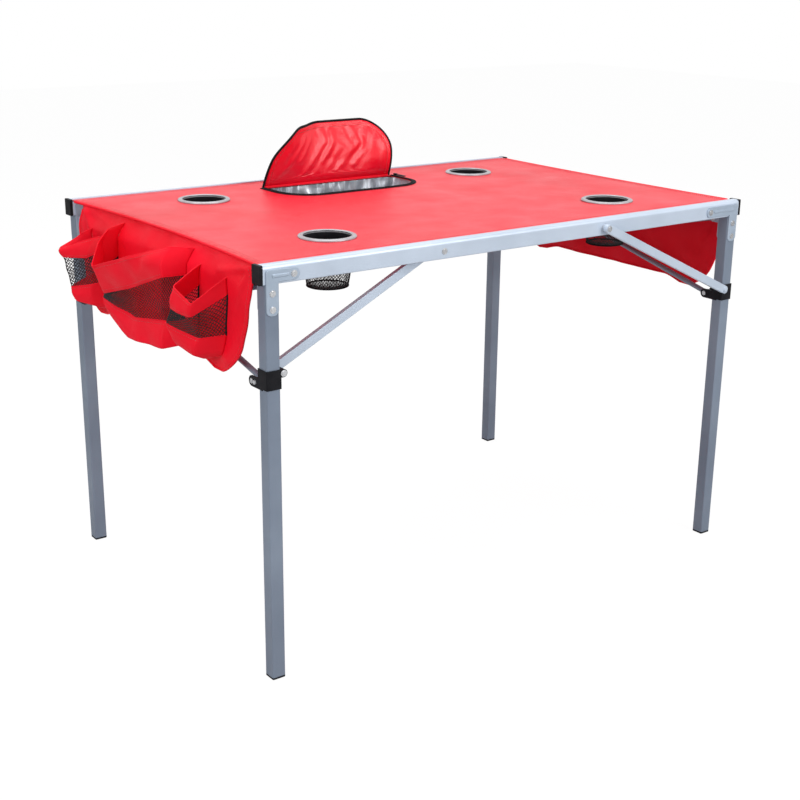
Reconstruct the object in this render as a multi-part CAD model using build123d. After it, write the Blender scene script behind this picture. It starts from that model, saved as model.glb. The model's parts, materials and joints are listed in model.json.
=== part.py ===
from build123d import *
import math
import os

# Folding table with a fabric top, four cup holders, a zipped cooler bag and end aprons with pockets.
# Millimetres. Origin on the floor under the middle of the top, X along the rails, Y to the back, Z up.

# Overall frame
rail_length = 980.0
frame_depth = 656.0
top_height = 640.0

# Rails and their end caps
rail_height = 28.0
rail_wall = 1.5
rail_edge_radius = 6.0
rail_small_radius = 1.5
seat_width = 8.0
seat_depth = 4.0
cap_flange = 5.0
cap_plug = 20.0
cap_clearance = 0.1

# Legs and feet
leg_size = 22.0
leg_wall = 1.2
leg_corner = 2.0
leg_inner_corner = 1.4
leg_end_inset = 3.0
leg_gap = 0.5
foot_pad = 3.0
foot_nub = 2.0
foot_nub_radius = 7.5
foot_plug = 18.0

# Corner brackets, leg pivots and rivets
plate = 1.5
face_gap = 0.2
pivot_rise = 12.0
short_arm = 35.4
stack_gap = 0.7
bracket_width = 20.0
bracket_drop = 44.0
bracket_end_radius = 9.0
bracket_corner_radius = 4.0
rib_height = 0.8
rib_width = 4.0
leg_rivet_drops = (12.0, 35.0)
rivet_radius = 3.0
rivet_head_radius = 5.0
rivet_head = 1.5
crown_share = 0.7
running_clearance = 0.05
head_gap = 0.1

# Sliding collars
collar_clearance = 0.3
collar_wall = 1.2
collar_height = 28.6
collar_top = 488.6
cheek = 2.5
cheek_radius = 8.0
lug_offset = 16.0
lug_radius = 6.0
lug_plate = 2.5
lock_radius = 3.2
lock_proud = 2.5
lock_inner = 1.0
lock_back_set = 9.5
lock_clearance = 0.1

# Braces
brace_height = 14.0
brace_thickness = 8.0
brace_gap = 0.4
folded_collar_reach = 585.0
bush_radius = 6.0

# Crossed end links
link_diameter = 9.0
link_bore = 7.0
link_eye_radius = 6.0
link_eye_half = 4.8
link_plane_gap = 1.0
link_standoff = 18.0
link_low_pivot = 6.0
link_top_drop = 8.0
link_pin_radius = 2.5
tab_thickness = 4.5
tab_radius = 7.0

# Fabric top
fabric = 2.0
fabric_gap = 0.3
top_end_inset = 2.0
top_end_bow = 16.0

# Cup holders
cup_x = 296.0
cup_set_back = 134.0
cup_ring_radius = 45.0
cup_ring_inner = 37.0
cup_ring_height = 3.0
cup_radius = 40.0
cup_base_radius = 36.0
cup_depth = 77.0
cup_wall = 1.2
cup_hole_clearance = 0.5

# Cooler opening, bag and lid
mouth_width = 288.0
mouth_depth = 112.0
mouth_corner = 62.0
hinge_set_back = 80.0
bag_width = 318.0
bag_before_hinge = 164.0
bag_behind_hinge = 14.0
bag_depth = 126.0
bag_wall = 8.0
bag_corner = 26.0
lining_wall = 1.0
lining_gap = 0.3
lid_thickness = 8.0
lid_clearance = 3.0
lid_hinge_gap = 1.5
lid_open_angle = 95.0
zip_width = 8.0
zip_height = 1.2
zip_band = 1.6
zip_band_height = 4.0
zip_stop = 2.0
band_stop = 4.0
slider_length = 9.0
slider_width = 5.0
slider_height = 3.0
pull_length = 26.0
pull_width = 6.0
pull_thickness = 1.6
pull_gap = 0.5

# End aprons and their pockets
apron_thickness = 1.6
apron_gap = 1.5
apron_flare_drop = 28.0
apron_side_gap = 14.0
apron_drop = 175.0
apron_slant = 51.0
apron_corner = 50.0
pocket_wall = 2.0
bottle_set_back = 142.0
bottle_width = 78.0
bottle_reach = 58.0
bottle_corner = 34.0
bottle_top = 600.0
bottle_bottom = 490.0
box_y = -8.0
box_width = 236.0
box_reach = 62.0
box_corner = 20.0
box_top = 610.0
box_bottom = 478.0

# Places worked out from the sizes above
rail_depth = leg_size - 2 * face_gap
rail_bottom = top_height - rail_height
leg_x = rail_length / 2 - leg_end_inset - leg_size / 2
leg_y = frame_depth / 2 - leg_size / 2
cup_y = frame_depth / 2 - cup_set_back
bottle_y = frame_depth / 2 - bottle_set_back
hinge_y = frame_depth / 2 - hinge_set_back
bag_front = hinge_y - bag_before_hinge
bag_back = hinge_y + bag_behind_hinge
leg_outer = leg_y + leg_size / 2
leg_inner = leg_y - leg_size / 2
rail_outer = leg_y + rail_depth / 2
rail_inner = leg_y - rail_depth / 2
leg_bottom = foot_nub + foot_pad
leg_top = rail_bottom - leg_gap
pivot_z = rail_bottom + pivot_rise
collar_half = leg_size / 2 + collar_clearance + collar_wall
long_arm = short_arm + leg_size / 2 + collar_half + stack_gap
lug_z = collar_top - lug_radius
lug_drop = pivot_z - lug_z
link_low_z = collar_top - collar_height + link_low_pivot
link_top_z = leg_top - link_top_drop
link_y = leg_inner - link_standoff
link_offset = (link_diameter + link_plane_gap) / 2
top_underside = top_height - seat_depth + fabric_gap
top_surface = top_underside + fabric
apron_x = leg_x + collar_half + apron_gap
arms = {"left": short_arm, "right": long_arm}
depths = (("front", -1), ("back", 1))
sides = (("left", -1), ("right", 1))
corners = [(depth, sy, side, sx) for depth, sy in depths for side, sx in sides]


def span(x0, x1, y0, y1, z0, z1):
    """Box between two corners."""
    return Pos((x0 + x1) / 2, (y0 + y1) / 2, (z0 + z1) / 2) * Box(abs(x1 - x0), abs(y1 - y0), abs(z1 - z0))


def rod_x(radius, x0, x1, y, z):
    return Pos((x0 + x1) / 2, y, z) * Rot(0, 90, 0) * Cylinder(radius, abs(x1 - x0))


def rod_y(radius, x, y0, y1, z):
    return Pos(x, (y0 + y1) / 2, z) * Rot(90, 0, 0) * Cylinder(radius, abs(y1 - y0))


def head_x(x0, direction, y, z, radius=rivet_head_radius):
    """Rivet head standing off a face across X, narrower at its crown."""
    tall = rivet_head * direction
    base = rod_x(radius, x0, x0 + tall / 2, y, z)
    return base + rod_x(radius * crown_share, x0 + tall / 2, x0 + tall, y, z)


def head_y(x, y0, direction, z, radius=rivet_head_radius):
    """Rivet head standing off a face across Y, narrower at its crown."""
    tall = rivet_head * direction
    base = rod_y(radius, x, y0, y0 + tall / 2, z)
    return base + rod_y(radius * crown_share, x, y0 + tall / 2, y0 + tall, z)


def plate_y(sketch, y0, y1):
    """Extrude an XZ outline between two depths."""
    return Pos(0, max(y0, y1), 0) * extrude(Plane.XZ * sketch, amount=abs(y1 - y0))


def placed(shape, sx, sy):
    """Mirror a shape drawn at the back right corner to another corner."""
    if sx < 0:
        shape = mirror(shape, about=Plane.YZ)
    if sy < 0:
        shape = mirror(shape, about=Plane.XZ)
    return shape


def save(name, *shapes):
    solids = [solid for shape in shapes for solid in shape.solids()]
    export_step(Compound(solids), f"parts/{name}.step")


def pivot_x(side):
    return leg_x - arms[side]


def brace_pivot_x(side):
    """Rail pivot that lets collar, brace and rail lie in line when folded."""
    lever = arms[side] - lug_offset
    reach = (folded_collar_reach**2 - lug_drop**2) / (2 * (folded_collar_reach + lever))
    return pivot_x(side) - reach


def brace_span(side):
    """Near and far depth of a brace: left braces run inside the legs, right ones outside."""
    if side == "left":
        near = leg_y - collar_half - brace_gap
        return near, near - brace_thickness
    near = leg_outer + collar_clearance + lug_plate + brace_gap
    return near, near + brace_thickness


def rail():
    section = Pos(leg_y, (top_height + rail_bottom) / 2) * Rectangle(rail_depth, rail_height)
    others = section.vertices().sort_by(lambda v: v.X + v.Y)[:-1]
    section = fillet(others, rail_small_radius)
    upper_outer = section.vertices().sort_by(lambda v: v.X + v.Y)[-1:]
    section = fillet(upper_outer, rail_edge_radius)
    bore = Pos(leg_y, (top_height + rail_bottom) / 2 - seat_depth / 2) * Rectangle(
        rail_depth - 2 * rail_wall, rail_height - 2 * rail_wall - seat_depth
    )
    body = extrude(Plane.YZ * (section - bore), amount=rail_length / 2, both=True)
    seat_y = rail_inner + seat_width
    seat_z = top_height - seat_depth
    body -= span(-rail_length, rail_length, rail_inner - 1, seat_y, seat_z, top_height + 1)
    for side, sx in sides:
        for x in (pivot_x(side), brace_pivot_x(side)):
            body -= rod_y(rivet_radius + running_clearance, sx * x, rail_inner - 1, rail_outer + 1, pivot_z)
    return body


def rail_cap():
    end = rail_length / 2
    flange = span(end, end + cap_flange, rail_inner, rail_outer, rail_bottom, top_height)
    flange = fillet(flange.edges().filter_by(Axis.X), rail_small_radius)
    half_depth = rail_depth / 2 - rail_wall - cap_clearance
    plug_low = rail_bottom + rail_wall + cap_clearance
    plug_high = top_height - rail_wall - seat_depth - cap_clearance
    plug = span(end - cap_plug, end, leg_y - half_depth, leg_y + half_depth, plug_low, plug_high)
    return flange + plug


def rail_rivets(sx, side):
    """Leg pivot and brace pivot rivets of one rail end, at the back."""
    x = sx * pivot_x(side)
    outer = leg_outer + plate + head_gap
    inner = leg_inner - plate - head_gap
    leg_pivot = rod_y(rivet_radius, x, inner, outer, pivot_z)
    leg_pivot += head_y(x, outer, 1, pivot_z)
    leg_pivot += head_y(x, inner, -1, pivot_z)
    x = sx * brace_pivot_x(side)
    near, far = brace_span(side)
    away = 1 if far > near else -1
    bush_start = rail_outer if away > 0 else rail_inner
    tail_face = rail_inner if away > 0 else rail_outer
    head_face = far + away * head_gap
    brace_pivot = rod_y(rivet_radius, x, tail_face, head_face, pivot_z)
    brace_pivot += rod_y(bush_radius, x, bush_start, near - away * head_gap, pivot_z)
    brace_pivot += head_y(x, head_face, away, pivot_z)
    brace_pivot += head_y(x, tail_face, -away, pivot_z)
    return [leg_pivot, brace_pivot]


def leg():
    wall = RectangleRounded(leg_size, leg_size, leg_corner)
    wall -= RectangleRounded(leg_size - 2 * leg_wall, leg_size - 2 * leg_wall, leg_inner_corner)
    body = extrude(Pos(leg_x, leg_y, leg_bottom) * wall, amount=leg_top - leg_bottom)
    for drop in leg_rivet_drops:
        body -= rod_y(rivet_radius + running_clearance, leg_x, leg_inner - 1, leg_outer + 1, leg_top - drop)
    return body


def foot():
    pad_outline = RectangleRounded(leg_size, leg_size, leg_corner)
    pad = extrude(Pos(leg_x, leg_y, foot_nub) * pad_outline, amount=foot_pad)
    inside = leg_size - 2 * leg_wall - 2 * cap_clearance
    plug_outline = RectangleRounded(inside, inside, leg_inner_corner)
    plug = extrude(Pos(leg_x, leg_y, leg_bottom) * plug_outline, amount=foot_plug)
    nub = Pos(leg_x, leg_y, foot_nub / 2) * Cylinder(foot_nub_radius, foot_nub)
    nub = fillet(nub.edges().sort_by(Axis.Z)[:1], foot_nub / 2)
    return pad + plug + nub


def bracket_plates(side, sy):
    """Outer and inner L plates of one leg. The inner one carries the tab for an end link."""
    x_in = leg_x - bracket_width / 2
    x_out = leg_x + bracket_width / 2
    x_end = pivot_x(side) - bracket_end_radius
    z_top = pivot_z + bracket_end_radius
    z_arm = pivot_z - bracket_end_radius
    z_low = leg_top - bracket_drop
    points = [(x_in, z_low), (x_out, z_low), (x_out, z_top), (x_end, z_top), (x_end, z_arm), (x_in, z_arm)]
    outline = make_face(Polyline(*points, close=True))
    ends = [v for v in outline.vertices() if v.Y < z_low + 1 or v.X < x_end + 1]
    outline = fillet(ends, bracket_end_radius - 0.5)
    rest = [v for v in outline.vertices() if abs(v.X - x_out) < 0.1 and abs(v.Y - z_top) < 0.1]
    outline = fillet(rest, bracket_corner_radius)
    outline -= Pos(pivot_x(side), pivot_z) * Circle(rivet_radius + running_clearance)
    for drop in leg_rivet_drops:
        outline -= Pos(leg_x, leg_top - drop) * Circle(rivet_radius + running_clearance)
    rib_start = pivot_x(side) + rivet_head_radius + rib_width
    rib_face = leg_outer + plate
    rib_low = pivot_z - rib_width / 2
    rib = span(rib_start, leg_x, rib_face, rib_face + rib_height, rib_low, rib_low + rib_width)
    outer = plate_y(outline, leg_outer, leg_outer + plate) + rib
    inner = plate_y(outline, leg_inner, leg_inner - plate)
    tab_end = leg_x + sy * tab_thickness
    tab = span(leg_x, tab_end, link_y, leg_inner - plate, link_top_z - tab_radius, link_top_z + tab_radius)
    tab += rod_x(tab_radius, leg_x, tab_end, link_y, link_top_z)
    inner += tab
    pin_bore = link_pin_radius + running_clearance
    inner -= rod_x(pin_bore, leg_x - tab_radius, leg_x + tab_radius, link_y, link_top_z)
    return [outer, inner]


def leg_rivets(sy):
    """The two rivets through leg and brackets, flush inside, and the pin of the end link."""
    outer = leg_outer + plate
    inner = leg_inner - plate
    rivets = []
    for drop in leg_rivet_drops:
        z = leg_top - drop
        rivet = rod_y(rivet_radius, leg_x, inner, outer, z)
        rivets.append(rivet + head_y(leg_x, outer, 1, z))
    tab_face = leg_x + sy * tab_thickness
    link_face = leg_x - sy * (link_offset + link_eye_half + head_gap)
    pin = rod_x(link_pin_radius, tab_face, link_face, link_y, link_top_z)
    pin += head_x(tab_face, sy, link_y, link_top_z)
    rivets.append(pin + head_x(link_face, -sy, link_y, link_top_z))
    return rivets


def collar(side):
    bottom = collar_top - collar_height
    bore = leg_size / 2 + collar_clearance
    sleeve_outline = RectangleRounded(2 * collar_half, 2 * collar_half, collar_wall)
    body = extrude(Pos(leg_x, leg_y, bottom) * sleeve_outline, amount=collar_height)
    for direction in (-1, 1):
        face = leg_x + direction * collar_half
        back = face - direction * cheek
        low = link_low_z - cheek_radius
        body += span(back, face, link_y, leg_y, low, link_low_z + cheek_radius)
        body += rod_x(cheek_radius, back, face, link_y, link_low_z)
    lug_x = leg_x - lug_offset
    if side == "left":
        lug_span = (leg_y - collar_half, leg_y + collar_half)
    else:
        lug_span = (leg_outer + collar_clearance, leg_outer + collar_clearance + lug_plate)
    body += span(lug_x, leg_x, *lug_span, lug_z - lug_radius, lug_z + lug_radius)
    body += rod_y(lug_radius, lug_x, *lug_span, lug_z)
    body -= span(leg_x - bore, leg_x + bore, leg_y - bore, leg_y + bore, leg_bottom, leg_top)
    lock_y = link_y + lock_back_set
    lock_face = leg_x + collar_half
    lock_bore = lock_radius + lock_clearance
    return body - rod_x(lock_bore, lock_face - cheek - 1, lock_face + 1, lock_y, link_low_z)


def collar_rivets(side):
    """Rivet heads on the cheeks, and on the outside of a left collar's lug."""
    heads = [
        head_x(leg_x + collar_half, 1, link_y, link_low_z, cheek_radius / 2),
        head_x(leg_x - collar_half, -1, link_y, link_low_z, cheek_radius / 2),
    ]
    if side == "left":
        heads.append(head_y(leg_x - lug_offset, leg_y + collar_half, 1, lug_z, lug_radius - 1))
    return heads


def lock_button():
    face = leg_x + collar_half
    y = link_y + lock_back_set
    button = rod_x(lock_radius, face - cheek - lock_inner, face + lock_proud, y, link_low_z)
    return fillet(button.edges().sort_by(Axis.X)[-1:], lock_proud / 3)


def brace(side):
    start = Vector(brace_pivot_x(side), pivot_z)
    end = Vector(leg_x - lug_offset, lug_z)
    middle = (start + end) / 2
    run = end - start
    slope = math.degrees(math.atan2(run.Y, run.X))
    outline = Pos(middle.X, middle.Y) * Rot(0, 0, slope) * SlotCenterToCenter(run.length, brace_height)
    outline -= Pos(start.X, start.Y) * Circle(rivet_radius + running_clearance)
    near, far = brace_span(side)
    away = 1 if far > near else -1
    return plate_y(outline, near, far) + head_y(end.X, far, away, end.Y)


def link(sy):
    """End link drawn from the back leg top down to the front collar."""
    x = leg_x - sy * link_offset
    top = Vector(x, link_y, link_top_z)
    low = Vector(x, -link_y, link_low_z)
    run = low - top
    along = Plane(origin=top, x_dir=(1, 0, 0), z_dir=run)
    bar = extrude(along * Circle(link_diameter / 2), amount=run.length)
    bar -= extrude(along * Circle(link_bore / 2), amount=run.length)
    half = link_diameter / 2
    for end in (top, low):
        bar += rod_x(link_eye_radius, x - link_eye_half, x + link_eye_half, end.Y, end.Z)
    bar -= rod_x(link_pin_radius + running_clearance, x - half - 1, x + half + 1, top.Y, top.Z)
    middle = (top + low) / 2
    return bar - rod_x(link_pin_radius + running_clearance, x - half - 1, x + half + 1, middle.Y, middle.Z)


def link_rivet():
    """Rivet at the crossing of two end links."""
    z = (link_top_z + link_low_z) / 2
    reach = link_offset + link_diameter / 2 + head_gap
    rivet = rod_x(link_pin_radius, leg_x - reach, leg_x + reach, 0, z)
    return rivet + head_x(leg_x + reach, 1, 0, z) + head_x(leg_x - reach, -1, 0, z)


def mouth_outline(grow=0.0):
    """Half oval of the cooler opening: straight at the hinge, rounded to the front."""
    half = mouth_width / 2 + grow
    front = hinge_y - mouth_depth - grow
    points = [(-half, hinge_y), (half, hinge_y), (half, front), (-half, front)]
    outline = make_face(Polyline(*points, close=True))
    return fillet([v for v in outline.vertices() if v.Y < hinge_y - 1], mouth_corner + grow)


def top():
    corner_x = rail_length / 2 - top_end_inset
    edge_y = rail_inner + seat_width - fabric_gap
    bow_x = corner_x - top_end_bow
    edges = [
        Line((-corner_x, -edge_y), (corner_x, -edge_y)),
        ThreePointArc((corner_x, -edge_y), (bow_x, 0), (corner_x, edge_y)),
        Line((corner_x, edge_y), (-corner_x, edge_y)),
        ThreePointArc((-corner_x, edge_y), (-bow_x, 0), (-corner_x, -edge_y)),
    ]
    cloth = make_face(edges) - mouth_outline()
    for x in (-cup_x, cup_x):
        for y in (-cup_y, cup_y):
            cloth -= Pos(x, y) * Circle(cup_radius + cup_hole_clearance)
    return extrude(Pos(0, 0, top_underside) * cloth, amount=fabric)


def cup_ring():
    outline = Circle(cup_ring_radius) - Circle(cup_ring_inner)
    ring = extrude(Pos(0, 0, top_surface) * outline, amount=cup_ring_height)
    return fillet(ring.edges().filter_by(GeomType.CIRCLE).sort_by(Axis.Z)[-2:], cup_ring_height / 2 - 0.1)


def cup_pocket():
    base = top_surface - cup_depth
    outside = loft([Pos(0, 0, top_surface) * Circle(cup_radius), Pos(0, 0, base) * Circle(cup_base_radius)])
    floor = Pos(0, 0, base + cup_wall) * Circle(cup_base_radius - cup_wall)
    inside = loft([Pos(0, 0, top_surface + 1) * Circle(cup_radius - cup_wall), floor])
    return outside - inside


def bag_block(shrink, height_low, height_high):
    wide = bag_width - 2 * shrink
    deep = bag_back - bag_front - 2 * shrink
    outline = RectangleRounded(wide, deep, bag_corner - shrink)
    middle_y = (bag_front + bag_back) / 2
    return extrude(Pos(0, middle_y, height_low) * outline, amount=height_high - height_low)


def cooler_bag():
    low = top_underside - bag_depth
    return bag_block(0, low, top_underside) - bag_block(bag_wall, low + bag_wall, top_underside + 1)


def cooler_lining():
    skin = bag_wall + lining_gap
    low = top_underside - bag_depth + skin
    inside = bag_block(skin + lining_wall, low + lining_wall, top_underside + 1)
    return bag_block(skin, low, top_underside) - inside


def opened(shape):
    """Swing a shape drawn on the closed lid up about the hinge at the back of the opening."""
    hinge = Axis((0, hinge_y, top_surface), (1, 0, 0))
    return shape.rotate(hinge, -lid_open_angle)


def lid_pad():
    low = top_surface + fabric_gap
    pad = extrude(Pos(0, 0, low) * mouth_outline(-lid_clearance), amount=lid_thickness)
    return pad - span(-mouth_width, mouth_width, hinge_y - lid_hinge_gap, hinge_y + 1, 0, 2 * top_height)


def lid_zip_band():
    low = top_surface + fabric_gap
    band = mouth_outline(zip_band - lid_clearance) - mouth_outline(-lid_clearance)
    ring = extrude(Pos(0, 0, low) * band, amount=zip_band_height)
    return ring - span(-mouth_width, mouth_width, hinge_y - band_stop, hinge_y + zip_width, 0, 2 * top_height)


def mouth_zip():
    tape = extrude(Pos(0, 0, top_surface) * (mouth_outline(zip_width) - mouth_outline()), amount=zip_height)
    return tape - span(-mouth_width, mouth_width, hinge_y - zip_stop, hinge_y + zip_width, 0, 2 * top_height)


def zip_slider():
    x = mouth_width / 2 + zip_width / 2
    y = hinge_y - zip_stop - slider_length
    z = top_surface + zip_height
    outline = RectangleRounded(slider_width, slider_length, slider_width / 3)
    return extrude(Pos(x, y, z) * outline, amount=slider_height)


def zip_pull():
    """Pull tab lying forward from the slider, hinged at its back end."""
    x = mouth_width / 2 + zip_width / 2
    y = hinge_y - zip_stop - 1.5 * slider_length - pull_gap
    z = top_surface + zip_height + pull_gap
    outline = RectangleRounded(pull_width, pull_length, pull_width / 3)
    return extrude(Pos(x, y - pull_length / 2, z) * outline, amount=pull_thickness)


def apron():
    """End cloth of the right side: hung from the bowed edge of the top, then straight down."""
    corner_x = rail_length / 2 - top_end_inset
    bow_x = corner_x - top_end_bow
    half = rail_inner - apron_side_gap / 2
    upper_z = top_underside - fabric_gap
    lower_z = upper_z - apron_flare_drop
    outer_x = corner_x + apron_thickness
    strip = make_face(
        [
            ThreePointArc((corner_x, -half), (bow_x, 0), (corner_x, half)),
            Line((corner_x, half), (outer_x, half)),
            ThreePointArc((outer_x, half), (bow_x + apron_thickness, 0), (outer_x, -half)),
            Line((outer_x, -half), (corner_x, -half)),
        ]
    )
    foot_strip = Pos(apron_x + apron_thickness / 2, 0) * Rectangle(apron_thickness, 2 * half)
    flare = loft([Pos(0, 0, upper_z) * strip, Pos(0, 0, lower_z) * foot_strip], ruled=True)
    bottom = top_underside - apron_drop
    points = [(-half, lower_z), (half, lower_z), (half - apron_slant, bottom), (apron_slant - half, bottom)]
    sheet = make_face(Polyline(*points, close=True))
    sheet = fillet([v for v in sheet.vertices() if v.Y < bottom + 1], apron_corner)
    return flare + extrude(Plane.YZ.offset(apron_x) * sheet, amount=apron_thickness)


def pocket(centre, width, reach, corner, low, high):
    """Open pocket standing out from the right apron."""
    face = apron_x + apron_thickness

    def outline(shrink):
        far = face + reach - shrink
        half = width / 2 - shrink
        box = make_face(Polyline((face, -half), (far, -half), (far, half), (face, half), close=True))
        return Pos(0, centre) * fillet([v for v in box.vertices() if v.X > face + 1], corner - shrink)

    body = extrude(Pos(0, 0, low) * outline(0), amount=high - low)
    hollow = extrude(Pos(0, 0, low + pocket_wall) * outline(pocket_wall), amount=high)
    inner_wall = span(face, face + pocket_wall, centre - width, centre + width, low, high)
    return body - (hollow - inner_wall)


os.makedirs("parts", exist_ok=True)

for depth, sy in depths:
    save(f"{depth}_rail", placed(rail(), 1, sy))
    save(f"{depth}_rail_caps", *[placed(rail_cap(), sx, sy) for sx in (-1, 1)])
    rivets = rail_rivets(-1, "left") + rail_rivets(1, "right")
    save(f"{depth}_rail_rivets", *[placed(rivet, 1, sy) for rivet in rivets])

for depth, sy, side, sx in corners:
    place = f"{depth}_{side}"
    save(f"leg_{place}", placed(leg(), sx, sy))
    save(f"foot_{place}", placed(foot(), sx, sy))
    save(f"bracket_{place}", *[placed(p, sx, sy) for p in bracket_plates(side, sy)])
    save(f"leg_rivets_{place}", *[placed(r, sx, sy) for r in leg_rivets(sy)])
    save(f"collar_{place}", placed(collar(side), sx, sy))
    save(f"collar_rivets_{place}", *[placed(r, sx, sy) for r in collar_rivets(side)])
    save(f"lock_button_{place}", placed(lock_button(), sx, sy))
    save(f"brace_{place}", placed(brace(side), sx, sy))
    save(f"end_link_{place}", placed(link(sy), sx, sy))

for side, sx in sides:
    save(f"end_link_rivet_{side}", placed(link_rivet(), sx, 1))
    save(f"apron_{side}", placed(apron(), sx, 1))
    bottle_size = (bottle_width, bottle_reach, bottle_corner, bottle_bottom, bottle_top)
    bottles = [pocket(y, *bottle_size) for y in (-bottle_y, bottle_y)]
    save(f"bottle_pockets_{side}", *[placed(b, sx, 1) for b in bottles])
    box_pocket = pocket(box_y, box_width, box_reach, box_corner, box_bottom, box_top)
    save(f"box_pocket_{side}", placed(box_pocket, sx, 1))

cup_places = [Pos(x, y, 0) for x in (-cup_x, cup_x) for y in (-cup_y, cup_y)]
save("fabric_top", top())
save("cup_rings", *[at * cup_ring() for at in cup_places])
save("cup_pockets", *[at * cup_pocket() for at in cup_places])
save("cooler_bag", cooler_bag())
save("cooler_lining", cooler_lining())
save("cooler_zip", mouth_zip())
save("cooler_lid", opened(lid_pad()))
save("lid_zip", opened(lid_zip_band()))
save("zip_slider", zip_slider())
save("zip_pull", zip_pull())
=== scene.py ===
import json
import math

import bpy
import numpy as np
from mathutils import Matrix, Vector, geometry, noise


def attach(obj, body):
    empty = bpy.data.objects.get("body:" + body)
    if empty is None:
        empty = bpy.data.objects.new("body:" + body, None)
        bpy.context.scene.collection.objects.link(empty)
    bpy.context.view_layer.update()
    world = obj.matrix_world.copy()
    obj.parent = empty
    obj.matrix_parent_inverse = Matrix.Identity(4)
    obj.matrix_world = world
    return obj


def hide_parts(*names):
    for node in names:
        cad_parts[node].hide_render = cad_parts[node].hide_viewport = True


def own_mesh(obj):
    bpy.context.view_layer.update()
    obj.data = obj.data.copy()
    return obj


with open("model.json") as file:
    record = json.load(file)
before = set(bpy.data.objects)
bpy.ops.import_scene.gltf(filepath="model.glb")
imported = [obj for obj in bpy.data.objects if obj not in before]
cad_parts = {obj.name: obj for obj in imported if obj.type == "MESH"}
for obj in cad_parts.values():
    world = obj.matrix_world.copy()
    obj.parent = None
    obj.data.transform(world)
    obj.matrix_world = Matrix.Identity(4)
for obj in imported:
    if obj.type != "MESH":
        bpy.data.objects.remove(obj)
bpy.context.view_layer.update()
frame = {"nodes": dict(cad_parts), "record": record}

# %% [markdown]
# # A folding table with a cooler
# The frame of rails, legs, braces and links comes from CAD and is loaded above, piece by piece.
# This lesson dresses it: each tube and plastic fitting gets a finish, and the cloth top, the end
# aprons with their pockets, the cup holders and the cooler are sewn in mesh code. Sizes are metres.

scene = bpy.context.scene

# %% [markdown]
# ## Finishes
# Every finish is one Principled shader with its constants set on the shader itself. Colour, gloss
# and bump then vary by noise read on Object coordinates, which stay put when the table folds.

# %% Helpers for finishes: nodes
def shader_input(finish, label):
    """An input of the finish's Principled shader."""
    return finish.node_tree.nodes["Principled BSDF"].inputs[label]


def new_finish(name, rough, metallic=0.0, specular=0.5, sheen=0.0):
    finish = bpy.data.materials.new(name)
    finish.use_nodes = True
    constants = {"Roughness": rough, "Metallic": metallic, "Specular IOR Level": specular,
                 "Sheen Weight": sheen}
    for label, value in constants.items():
        shader_input(finish, label).default_value = value
    return finish


def add_node(finish, kind, **inputs):
    """A node with some inputs set. An underscore in a label stands for a space."""
    made = finish.node_tree.nodes.new(kind)
    for label, value in inputs.items():
        made.inputs[label.replace("_", " ")].default_value = value
    return made


def wire(tree, *pairs):
    """Link each output to its input."""
    for output, target in pairs:
        tree.links.new(output, target)


def texture(finish, kind, **inputs):
    """A texture that reads Object coordinates, from one coordinate node per finish."""
    made = add_node(finish, kind, **inputs)
    place = finish.node_tree.nodes.get("Texture Coordinate") or add_node(finish, "ShaderNodeTexCoord")
    wire(finish.node_tree, (place.outputs["Object"], made.inputs["Vector"]))
    return made


print("node helpers ready")

# %% Helpers for finishes: colour and gloss
noise_range = (0.3, 0.7)    # where most of a noise lies


def mottle(finish, dark, light, scale, detail=3.0):
    """Let the colour drift between two near tones."""
    cloud = texture(finish, "ShaderNodeTexNoise", Scale=scale, Detail=detail)
    ramp = add_node(finish, "ShaderNodeValToRGB")
    for stop, position, tone in zip(ramp.color_ramp.elements, noise_range, (dark, light)):
        stop.position = position
        stop.color = (*tone, 1)
    wire(finish.node_tree, (cloud.outputs["Fac"], ramp.inputs["Fac"]),
         (ramp.outputs["Color"], shader_input(finish, "Base Color")))


def smear(finish, low, high, scale):
    """Let the gloss vary, as handled paint and coated cloth do."""
    cloud = texture(finish, "ShaderNodeTexNoise", Scale=scale, Detail=4.0)
    spread = add_node(finish, "ShaderNodeMapRange", From_Min=noise_range[0], From_Max=noise_range[1],
                      To_Min=low, To_Max=high)
    wire(finish.node_tree, (cloud.outputs["Fac"], spread.inputs["Value"]),
         (spread.outputs["Result"], shader_input(finish, "Roughness")))


print("colour and gloss helpers ready")

# %% Helpers for finishes: bumps
def raise_height(finish, height, depth, strength=1.0):
    """Stack one more bump under the shader's normal."""
    normal = shader_input(finish, "Normal")
    bump = add_node(finish, "ShaderNodeBump", Distance=depth, Strength=strength)
    if normal.is_linked:
        wire(finish.node_tree, (normal.links[0].from_socket, bump.inputs["Normal"]))
    wire(finish.node_tree, (height, bump.inputs["Height"]), (bump.outputs["Normal"], normal))


def soften_edges(finish, radius):
    """Round the light over the edges, as the bends and the paint of real tube do."""
    bevel = add_node(finish, "ShaderNodeBevel", Radius=radius)
    wire(finish.node_tree, (bevel.outputs["Normal"], shader_input(finish, "Normal")))


def grain(finish, scale, depth, detail=2.0):
    """A fine bump of noise."""
    cloud = texture(finish, "ShaderNodeTexNoise", Scale=scale, Detail=detail)
    raise_height(finish, cloud.outputs["Fac"], depth)


def weave(finish, directions, pitch, depth):
    """Crossing threads: the higher of two wave patterns shows on top."""
    over = add_node(finish, "ShaderNodeMath")
    over.operation = "MAXIMUM"
    for socket, direction in zip(over.inputs, directions):
        threads = texture(finish, "ShaderNodeTexWave", Scale=math.pi / 10 / pitch)
        threads.bands_direction = direction
        wire(finish.node_tree, (threads.outputs["Fac"], socket))
    raise_height(finish, over.outputs["Value"], depth)


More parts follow.
